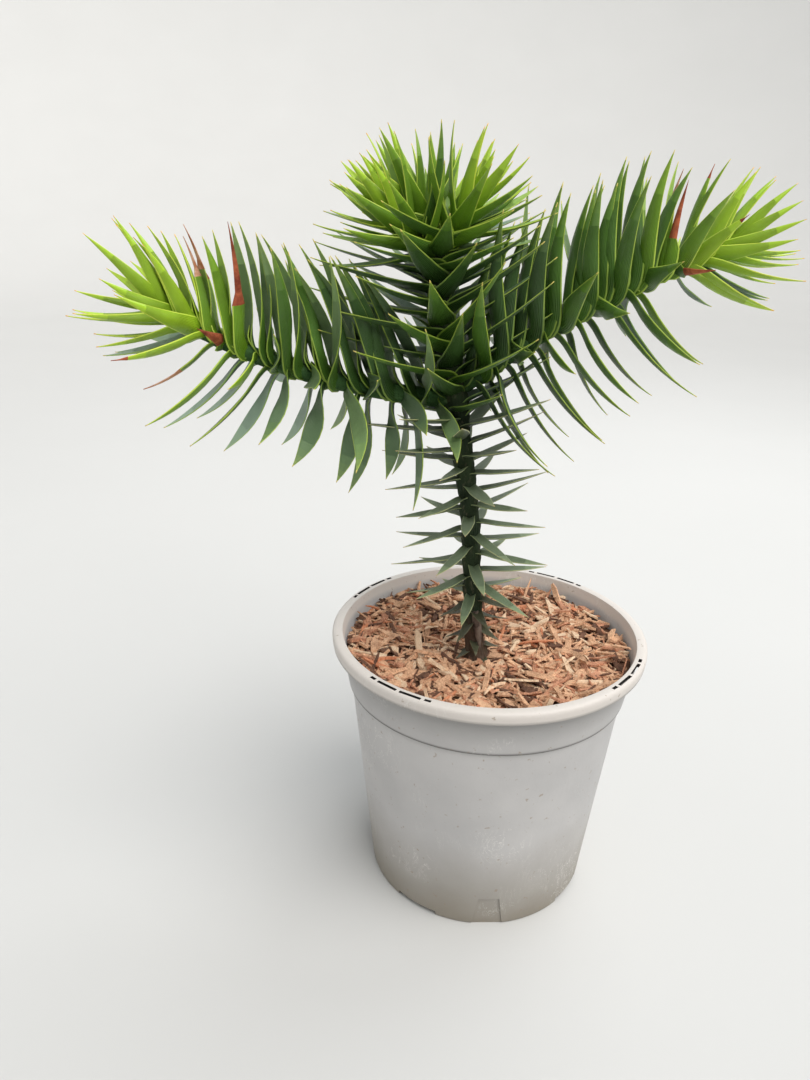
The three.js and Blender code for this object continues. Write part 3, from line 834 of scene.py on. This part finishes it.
def placed_chip(rng, level):
    """A chip's own shape, and the same shape laid on the bed, low down at level 0 and on top at 1."""
    length, width, thickness = chip_sizes(rng)
    reach = (MULCH_RADIUS - 1.2) * sqrt(rng.random())
    turn = rng.uniform(0, 2 * pi)
    x, y = reach * cos(turn), reach * sin(turn)
    shape = chip_shape(rng, length, width, thickness)
    placed = shape @ chip_matrix(rng, 0.1 + 0.14 * level).T
    placed += (x, y, mulch_height(x, y) - 0.6 + 1.9 * level - placed[:, 2].min() * 0.6)
    out = np.hypot(placed[:, 0], placed[:, 1]).max()
    if out > MULCH_RADIUS:
        placed[:, :2] *= MULCH_RADIUS / out
    return shape, placed


def build_mulch():
    rng = np.random.default_rng(17)
    looks = [chip_look(name, dark, pale) for name, (_, dark, pale) in CHIP_KINDS.items()]
    shares = [share for share, _, _ in CHIP_KINDS.values()]
    faces_of_one = chip_faces()
    points, faces, slots, uvs = [], [], [], []
    for index in range(MULCH_CHIPS):
        shape, placed = placed_chip(rng, index / MULCH_CHIPS)
        faces.extend(shifted(faces_of_one, len(points)))
        points.extend(placed.tolist())
        slots.extend([int(rng.choice(len(looks), p=shares))] * len(faces_of_one))
        uvs.extend((shape[:, :2] / 6 + rng.uniform(0, 40, 2)).tolist())
    chips = mesh_object("mulch_chips", points, faces, looks, slots, uvs, smooth=False)
    bed = build_mulch_bed()
    place(chips, "bark_mulch", "bark_mulch")
    place(bed, "bark_mulch", "bark_mulch")


def leaf_at(stem, along, index):
    """One leaf of a trunk, bough or shoot: its foot, directions and sizes."""
    rule, seed, share = stem.rule, stem.seed, along / stem.reach
    point, forward, across, side = stem.line.frame(min(along, stem.line.length))
    turn = (index * SPIRAL + 360 * random_at(seed)) % 360
    turn = turn - 360 if turn > 180 else turn
    hang = (1 - cos(radians(turn))) / 2
    swing = combed(abs(turn)) * rule["sweep"] * (0.6 + 0.8 * random_at(seed + index + 0.25))
    swept = turn + copysign(1, turn) * swing
    opening = mix(rule["upper"], share) * (1 - hang) + mix(rule["lower"], share) * hang
    opening += rule["spread"] * sin(radians(abs(turn))) ** 4 * (1 - share**3)
    opening += OPENING_VARIES * (random_at(seed + index) - 0.5)
    radius = stem.radius(along)
    return Record(
        along=along, share=share, index=index, turn=turn, swept=swept, hang=hang, opening=opening,
        seed=seed, forward=forward, across=across, side=side, radius=radius, middle=point,
        toward=turned(forward, turned(across, side, swept), opening),
        foot=point + turned(across, side, turn) * (radius + LEAF_FOOT),
        length=mix(rule["length"], share) * (0.88 + 0.24 * random_at(seed + index + 0.5)),
        width=mix(rule["width"], share),
    )


def leaves_on(stem):
    """Every leaf of a trunk, bough or shoot, from its foot to its tip."""
    leaves, along = [], FIRST_LEAF
    while along < stem.reach:
        leaves.append(leaf_at(stem, along, len(leaves)))
        along += mix(stem.rule["spacing"], along / stem.reach)
    return leaves


def leaves_between(stem, spacing, wanted):
    """More leaves of the same rule, set between the others wherever they are wanted."""
    closer = stem.but(rule=dict(stem.rule, spacing=(spacing, spacing)), seed=stem.seed + MORE_SEED)
    return [leaf.but(index=leaf.index + MORE_INDEX) for leaf in leaves_on(closer) if wanted(leaf)]


def combed(turn):
    """How far a leaf is swept up, below 0, or down, above 0: not at all in the row at the side."""
    low, high = SIDE_ROW
    if turn < low:
        return -sin(pi * turn / low)
    return SWEEP_BELOW * sin(pi * max(turn - high, 0) / (180 - high))


def blade_line(leaf):
    """The middle line of a leaf with a direction and an inward direction at each step."""
    shares = np.clip(STEPS, 0, 1)
    rising = smooth_step(-0.15, 0.07, STEPS)
    bow = leaf.bow * (1 - 2 * shares) * smooth_step(0.0, 0.2, shares)
    angles = np.radians(leaf.opening * leaf.lift * (1 - rising) + (leaf.opening + bow) * rising)
    swing = np.radians(leaf.turn + (leaf.swept - leaf.turn) * smooth_step(-0.02, 0.3, STEPS))
    out = np.outer(np.cos(swing), leaf.across) + np.outer(np.sin(swing), leaf.side)
    heading = np.outer(np.cos(angles), leaf.forward) + out * np.sin(angles)[:, None]
    hops = np.diff(STEPS)[:, None] * leaf.length * (heading[1:] + heading[:-1]) / 2
    spine = np.concatenate([np.zeros((1, 3)), np.cumsum(hops, axis=0)])
    foot = int(np.argmin(np.abs(STEPS)))
    outward = turned(leaf.across, leaf.side, leaf.turn)
    spine += leaf.foot - spine[foot] - outward * LEAF_SINK
    spine += np.outer(shares**1.3, leaf.foot + leaf.toward * leaf.length - spine[-1])
    along = np.gradient(spine, axis=0)
    along /= np.linalg.norm(along, axis=1)[:, None]
    inwards = [-outward]
    for direction in along:
        inwards.append(unit(inwards[-1] - direction * (inwards[-1] @ direction)))
    return spine, along, np.array(inwards[1:])


def blade_rings(leaf):
    """The rings of points of one leaf: cupped round the stem at its foot, folded along its middle."""
    spine, along, inwards = blade_line(leaf)
    flats = np.cross(inwards, along)
    outline = BROAD + (NARROW - BROAD) * leaf.narrow
    rings = []
    most = leaf.twist + toward_light(flats[LIGHT_ROW], inwards[LIGHT_ROW], leaf.facing)
    for row, step in enumerate(STEPS):
        twist = most * smooth_step(0.02, 0.7, step)
        across = turned(flats[row], inwards[row], twist)
        upward = turned(inwards[row], -flats[row], twist)
        half = leaf.width / 2 * outline[row] * (SHRIVEL if step > leaf.dry_from else 1)
        thick = leaf.thick * (0.3 + 0.7 * outline[row]) * (1 - 0.62 * RING_ACROSS**2) * RING_SIDE
        cup = leaf.fold + (leaf.cup - leaf.fold) * (1 - smooth_step(-0.02, 0.3, step))
        fold = cup * np.abs(RING_ACROSS) ** 1.4 * half
        rings.append(spine[row] + np.outer(RING_ACROSS * half, across) + np.outer(thick + fold, upward))
    return np.concatenate(rings)


def toward_light(flat, inward, most):
    """The turn, up to a limit, that brings the nearer face of a leaf round to the light.

    A limit below 0 brings its edge round instead.
    """
    turn = degrees(atan2(-(flat @ LIGHT), inward @ LIGHT)) + (90 if most < 0 else 0)
    turn = (turn + 90) % 180 - 90
    return min(max(turn, -abs(most)), abs(most))


def blade_look(leaf, row, column, dry_from):
    """The key of the look that a face takes, from its place on the leaf."""
    middle = (STEPS[row] + STEPS[row + 1]) / 2
    if middle > dry_from:
        return ("dry", 0, leaf.dry)
    face = "edge" if column in EDGE_COLUMNS else ("inner" if column < 6 else "outer")
    for limit, share in EDGE_BANDS if face == "edge" else FACE_BANDS:
        if middle < limit:
            return (face, share, leaf.kind)
    return ("point", 0, leaf.kind)


def spray(name, leaves, slot, node):
    """One piece of many leaves, each face with the look of its place on its leaf."""
    columns, rows = len(RING_ACROSS), len(STEPS)
    faces_of_one = grid_faces(rows, columns) + end_faces(rows, columns)
    points, faces, wanted, uvs = [], [], [], []
    across = np.tile((RING_ACROSS + 1) / 2, rows)
    along = np.repeat(STEPS, columns)
    for leaf in leaves:
        faces.extend(shifted(faces_of_one, len(points)))
        points.extend(blade_rings(leaf).tolist())
        for row in range(rows - 1):
            wanted += [blade_look(leaf, row, column, leaf.dry_from) for column in range(columns)]
        wanted += [blade_look(leaf, row, OUTER_COLUMN, NOWHERE) for row in (0, rows - 2)]
        uvs.extend(np.column_stack([across + leaf.index, along]).tolist())
    keys = sorted(set(wanted))
    index_of = {key: index for index, key in enumerate(keys)}
    looks, slots = [leaf_part_look(*key) for key in keys], [index_of[key] for key in wanted]
    place(mesh_object(name, points, faces, looks, slots, uvs), slot, node)


def blended(first, second, share):
    return tuple(a + (b - a) * share for a, b in zip(first, second))


def scaled(colour, share):
    return tuple(share * part for part in colour)


@cache
def leaf_part_look(face, share, name):
    """The look of one part of a kind of leaf, made once, when a leaf first needs it."""
    if face == "dry":
        return dry_look("dry_" + name, *DRY[name])
    if face == "point":
        return plain_look(name + "_point", POINTS.get(name, USUAL_POINT))
    *colours, end = KINDS[name]
    colour = blended(colours[FACES.index(face)], end, share)
    title = f"{name}_{face}_{int(100 * share)}"
    if face == "edge":
        return plain_look(title, colour)
    if share > 0:
        return plain_look(title, scaled(colour, 1.08), FACE_ROUGHNESS[face])
    return leaf_look(title, scaled(colour, 0.74), scaled(colour, 1.26), FACE_ROUGHNESS[face])


def dress(leaf, kind, **shape):
    """Gives a leaf its kind and the small bends that are its own."""
    seed = leaf.seed * 1.7 + leaf.index
    usual = leaf.but(
        kind=kind, dry_from=NOWHERE, thick=0.5, fold=0.34, narrow=0, lift=0.42, cup=0.5, facing=0,
        bow=7 + 9 * random_at(seed + 0.11), twist=24 * (random_at(seed + 0.37) - 0.5),
    )
    return usual.but(**shape)


def bough_kind(leaf, hand, draw):
    """A bough's leaf is bright in the bud, darker further back, and paler where its back shows."""
    share = leaf.share
    hidden = leaf.turn * hand["behind"] > 0
    if is_hanging(leaf) and share > PALE_START and hidden:
        return "pale"
    if share > BUD_START:
        return "bud"
    if share > FRESH_START:
        return "fresh" if draw < 0.8 else "green"
    if share > GREEN_START or draw < 0.3:
        return "green" if draw < 0.85 else "deep"
    return "deep"


def is_hanging(leaf):
    return leaf.hang > HANGING and leaf.share < HANGING_END


def bough_leaf(leaf, hand):
    """A bough's leaf: turned to the light on top, shorter at the side, and narrower where it hangs."""
    share, hang, draw = leaf.share, leaf.hang, random_at(leaf.seed + leaf.index * 3.1)
    if AT_SIDE[0] < hang < AT_SIDE[1] and share < 0.85:
        leaf.length *= SIDE_SHORTER
    facing = TOP_FACING * (1 - smooth_step(0.45, 0.7, hang)) * (1 - 0.6 * smooth_step(0.7, 0.85, share))
    leaf = dress(leaf, bough_kind(leaf, hand, draw), facing=facing)
    if not is_hanging(leaf):
        return leaf
    broad = hand["broad"] * (1 - smooth_step(*BROAD_END, share))
    return leaf.but(
        narrow=0.9, width=leaf.width * (0.62 + 0.2 * draw), fold=0.2, bow=leaf.bow + 6,
        length=leaf.length * (1 - broad * 0.42 * random_at(draw * 17)),
        facing=BROAD_FACING[random_at(draw * 29) >= 0.6] * broad - hand["edge_on"],
    )


def is_shed(leaf, hand):
    """True for the part of the leaves under a bough that are missing."""
    draw = random_at(leaf.seed * hand["draw"] + leaf.index)
    return leaf.hang > HANGING_LOW and leaf.share < SHED_END and draw < hand["shed"]


def withered(leaf, dry_from, colour, shorter):
    return leaf.but(dry_from=dry_from, dry=colour, length=leaf.length * shorter)


def build_bough_leaves(name, bough):
    hand, dry = BOUGH_HANDS[name], DRY_ENDS[name]
    leaves = [leaf for leaf in leaves_on(bough) if leaf.along > 6]
    leaves += leaves_between(bough, BUD_BETWEEN, lambda leaf: leaf.share > FILLED[1])
    on_top = lambda leaf: FILLED[0] < leaf.share < FILLED[1] and leaf.hang < ON_TOP
    leaves += leaves_between(bough, hand["between"], on_top)
    leaves = [bough_leaf(leaf, hand) for leaf in leaves if not is_shed(leaf, hand)]
    leaves = [withered(leaf, *dry[leaf.index]) if leaf.index in dry else leaf for leaf in leaves]
    spray(name + "_spray", leaves, "bough_leaves", name + "_leaves")


def crown_leaf(leaf):
    kind = "bud" if leaf.share > 0.6 else ("fresh" if leaf.share > 0.2 else "green")
    return dress(leaf, kind, fold=0.42, bow=12, facing=10)


def build_crown_leaves(name, shoot):
    crown = name.replace("shoot", "crown")
    leaves = [crown_leaf(leaf) for leaf in leaves_on(shoot)]
    spray(crown + "_spray", leaves, "crown_leaves", crown + "_leaves")


def clear_of_boughs(leaf, stems):
    """False where a trunk leaf would grow out of a bough's foot."""
    for name in BOUGH_HANDS:
        start = stems[name].line.at(0)
        heading = unit((stems[name].line.at(9) - start) * (1, 1, 0))
        near = abs(leaf.foot[2] - start[2] - 2) < 5
        if near and turned(leaf.across, leaf.side, leaf.turn) @ heading > 0.55:
            return False
    return True


def trunk_leaf(leaf):
    """A withered stub low on the trunk, a dull leaf above, or a long leaf of the leader."""
    if leaf.along < STUBS_END:
        leaf.length *= STUB_SHORTER
        return dress(leaf, "stub", thick=0.4, fold=0.3, lift=0.6, bow=4)
    if leaf.along < LEADER_START:
        return dress(leaf, "dull", thick=0.42, fold=0.24, lift=0.7, bow=5, narrow=0.7)
    if leaf.index >= MORE_INDEX:
        return dress(leaf, "shaded", bow=6)
    draw = random_at(leaf.index * 2.3)
    is_green = draw < 0.4 and leaf.share > 0.7 or leaf.share > 0.93
    return dress(leaf, "green" if is_green else "deep", bow=6)


def foot_scrap(leaf):
    """The withered leaf that lies flat down the front of the trunk's foot."""
    front = np.array((0.25, -1, 0))
    turn = degrees(atan2(front @ leaf.side, front @ leaf.across))
    out, opening = turned(leaf.across, leaf.side, turn), 172
    return dress(
        leaf, "stub", dry="grey", dry_from=-1, thick=0.35, fold=0.5, lift=1, bow=0, narrow=0.6, twist=18,
        turn=turn, swept=turn, opening=opening, length=15, width=7, index=leaf.index + 500,
        foot=leaf.middle + out * (leaf.radius + 1.2), toward=turned(leaf.forward, out, opening),
    )


def build_trunk_leaves(stems):
    leaves = leaves_on(stems["trunk"])
    scrap = foot_scrap(next(leaf for leaf in leaves if leaf.along > SCRAP_TOP))
    behind = lambda leaf: leaf.along > LEADER_START and leaf.toward[1] > 0.1
    leaves += leaves_between(stems["trunk"], LEADER_BETWEEN, behind)
    leaves = [trunk_leaf(leaf) for leaf in leaves if clear_of_boughs(leaf, stems)] + [scrap]
    low = [leaf for leaf in leaves if leaf.along < LEADER_START]
    high = [leaf for leaf in leaves if leaf.along >= LEADER_START]
    spray("trunk_spray", low, "trunk_leaves", "trunk_leaves")
    spray("leader_spray", high, "leader_leaves", "leader_leaves")


def cushions(stem, alongs, turns, height):
    """The relief of a stem: a cushion under each leaf that fades slowly down the stem and fast up it."""
    relief = np.zeros((len(alongs), len(turns)))
    for leaf in leaves_on(stem):
        rows = alongs - leaf.along
        near = np.where((rows > -9) & (rows < 4))[0]
        reach = np.where(rows[near] < 0, 4.5, 1.1)
        gap = np.angle(np.exp(1j * (turns - radians(leaf.turn)))) * leaf.radius
        hump = np.exp(-((gap / (0.3 * leaf.width)) ** 2))
        relief[near] += height * np.exp(-((rows[near] / reach) ** 2))[:, None] * hump[None, :]
    return np.minimum(relief, 1.3)


def build_bark(name, stem, start, end, look, slot, cushion=0.75, step=0.45, sides=96):
    """A stem's skin with the cushion under each leaf and fine furrows, closed at both ends."""
    alongs = np.arange(start, end, step)
    turns = np.linspace(-pi, pi, sides, endpoint=False)
    relief = cushions(stem, alongs, turns, cushion)
    points = []
    for row, along in enumerate(alongs):
        point, _, across, side = stem.line.frame(min(along, stem.line.length))
        furrows = 0.10 * np.sin(9 * turns + 0.8 * along) * sin(0.9 * along) + 0.08 * np.sin(23 * turns)
        radii = stem.radius(along) - 0.35 + relief[row] + furrows
        radii *= min(1, 0.35 + (alongs[-1] - along) / 2)
        points.append(point + np.outer(np.cos(turns) * radii, across) + np.outer(np.sin(turns) * radii, side))
    faces = grid_faces(len(alongs), sides) + end_faces(len(alongs), sides)
    place(mesh_object(name + "_bark", np.concatenate(points), faces, [look]), slot, name)


def build_wood(stems):
    old = bark_look("trunk_bark_skin", (0.012, 0.024, 0.010), (0.03, 0.05, 0.018), (0.10, 0.095, 0.055), 127)
    young = bark_look("young_bark_skin", (0.025, 0.075, 0.018), (0.05, 0.12, 0.03), (0.10, 0.16, 0.06))
    build_bark("trunk", stems["trunk"], 1.2, stems["trunk"].reach - 0.3, old, "trunk")
    for name in LIMBS:
        end = stems[name].reach - 1
        build_bark(name, stems[name], 0.5, end, young, "boughs", cushion=0.25, step=0.6, sides=64)


def floor_look():
    look = Look("floor_matt", 0.75, 0.2)
    look.colour(look.blend(look.noise(4, 3), (0.60, 0.595, 0.58), (0.63, 0.625, 0.61)))
    return look.material


def build_stage():
    """A pale floor that rises in a wide cove all round, far from the plant."""
    flat, out, high, steps, sides = 2300.0, 5000.0, 3200.0, 24, 96
    profile = [(0.001, 0.0), (flat / 2, 0.0), (flat, 0.0)]
    for step in range(1, steps + 1):
        turn = pi / 2 * step / steps
        profile.append((flat + (out - flat) * sin(turn), high * (1 - cos(turn))))
    faces = grid_faces(len(profile), sides)
    mesh_object("floor", turned_points(profile, sides), faces, [floor_look()])


def add_light(name, kind, power, colour, heading):
    """A light that shines along a heading."""
    light = bpy.data.lights.new(name, kind)
    light.energy = power
    light.color = colour
    lamp = linked(name, light)
    lamp.rotation_euler = Vector(heading).to_track_quat("-Z", "Y").to_euler()
    return lamp


def build_lights():
    """One very soft high light, as from an overcast sky, over an even dim surround, in metres."""
    sun = add_light("sky", "SUN", power=3.0, colour=(1, 0.985, 0.96), heading=(-0.52, 0.56, -1))
    sun.data.angle = radians(55)
    spot, aim = Vector((0.5, 0.5, 1.1)), Vector((-0.02, 0, 0.17))
    gloss = add_light("gloss", "AREA", power=6, colour=(0.95, 0.98, 1), heading=aim - spot)
    gloss.location = spot
    gloss.data.shape = "DISK"
    gloss.data.size = 0.9
    world = bpy.data.worlds.new("studio")
    world.use_nodes = True
    surround = world.node_tree.nodes["Background"]
    surround.inputs["Color"].default_value = (0.9, 0.95, 1, 1)
    surround.inputs["Strength"].default_value = 0.44
    scene = bpy.context.scene
    scene.world = world
    scene.view_settings.view_transform = "Standard"
    scene.view_settings.look = "None"


def build_camera():
    pitch, roll = radians(PITCH), radians(ROLL)
    right = Vector((1, 0, 0))
    ahead = Vector((0, cos(pitch), -sin(pitch)))
    above = Vector((0, sin(pitch), cos(pitch)))
    across = right * cos(roll) + above * sin(roll)
    upward = above * cos(roll) - right * sin(roll)
    data = bpy.data.cameras.new("photo_camera")
    data.sensor_width = SENSOR
    data.lens = LENS
    data.clip_start = 0.01
    camera = linked("photo_camera", data)
    turn = Matrix((across, upward, -ahead)).transposed().to_4x4()
    camera.matrix_world = Matrix.Translation(Vector(EYE) * MM) @ turn
    bpy.context.scene.camera = camera


def build_tree():
    stems = build_stems()
    build_wood(stems)
    build_trunk_leaves(stems)
    for name in LIMBS:
        build_leaves = build_bough_leaves if name in BOUGH_HANDS else build_crown_leaves
        build_leaves(name, stems[name])


def dress_compost():
    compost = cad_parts["compost"]
    compost.data.materials.clear()
    compost.data.materials.append(compost_look())


build_camera()
build_lights()
build_stage()
build_pot()
build_mulch()
dress_compost()
build_tree()
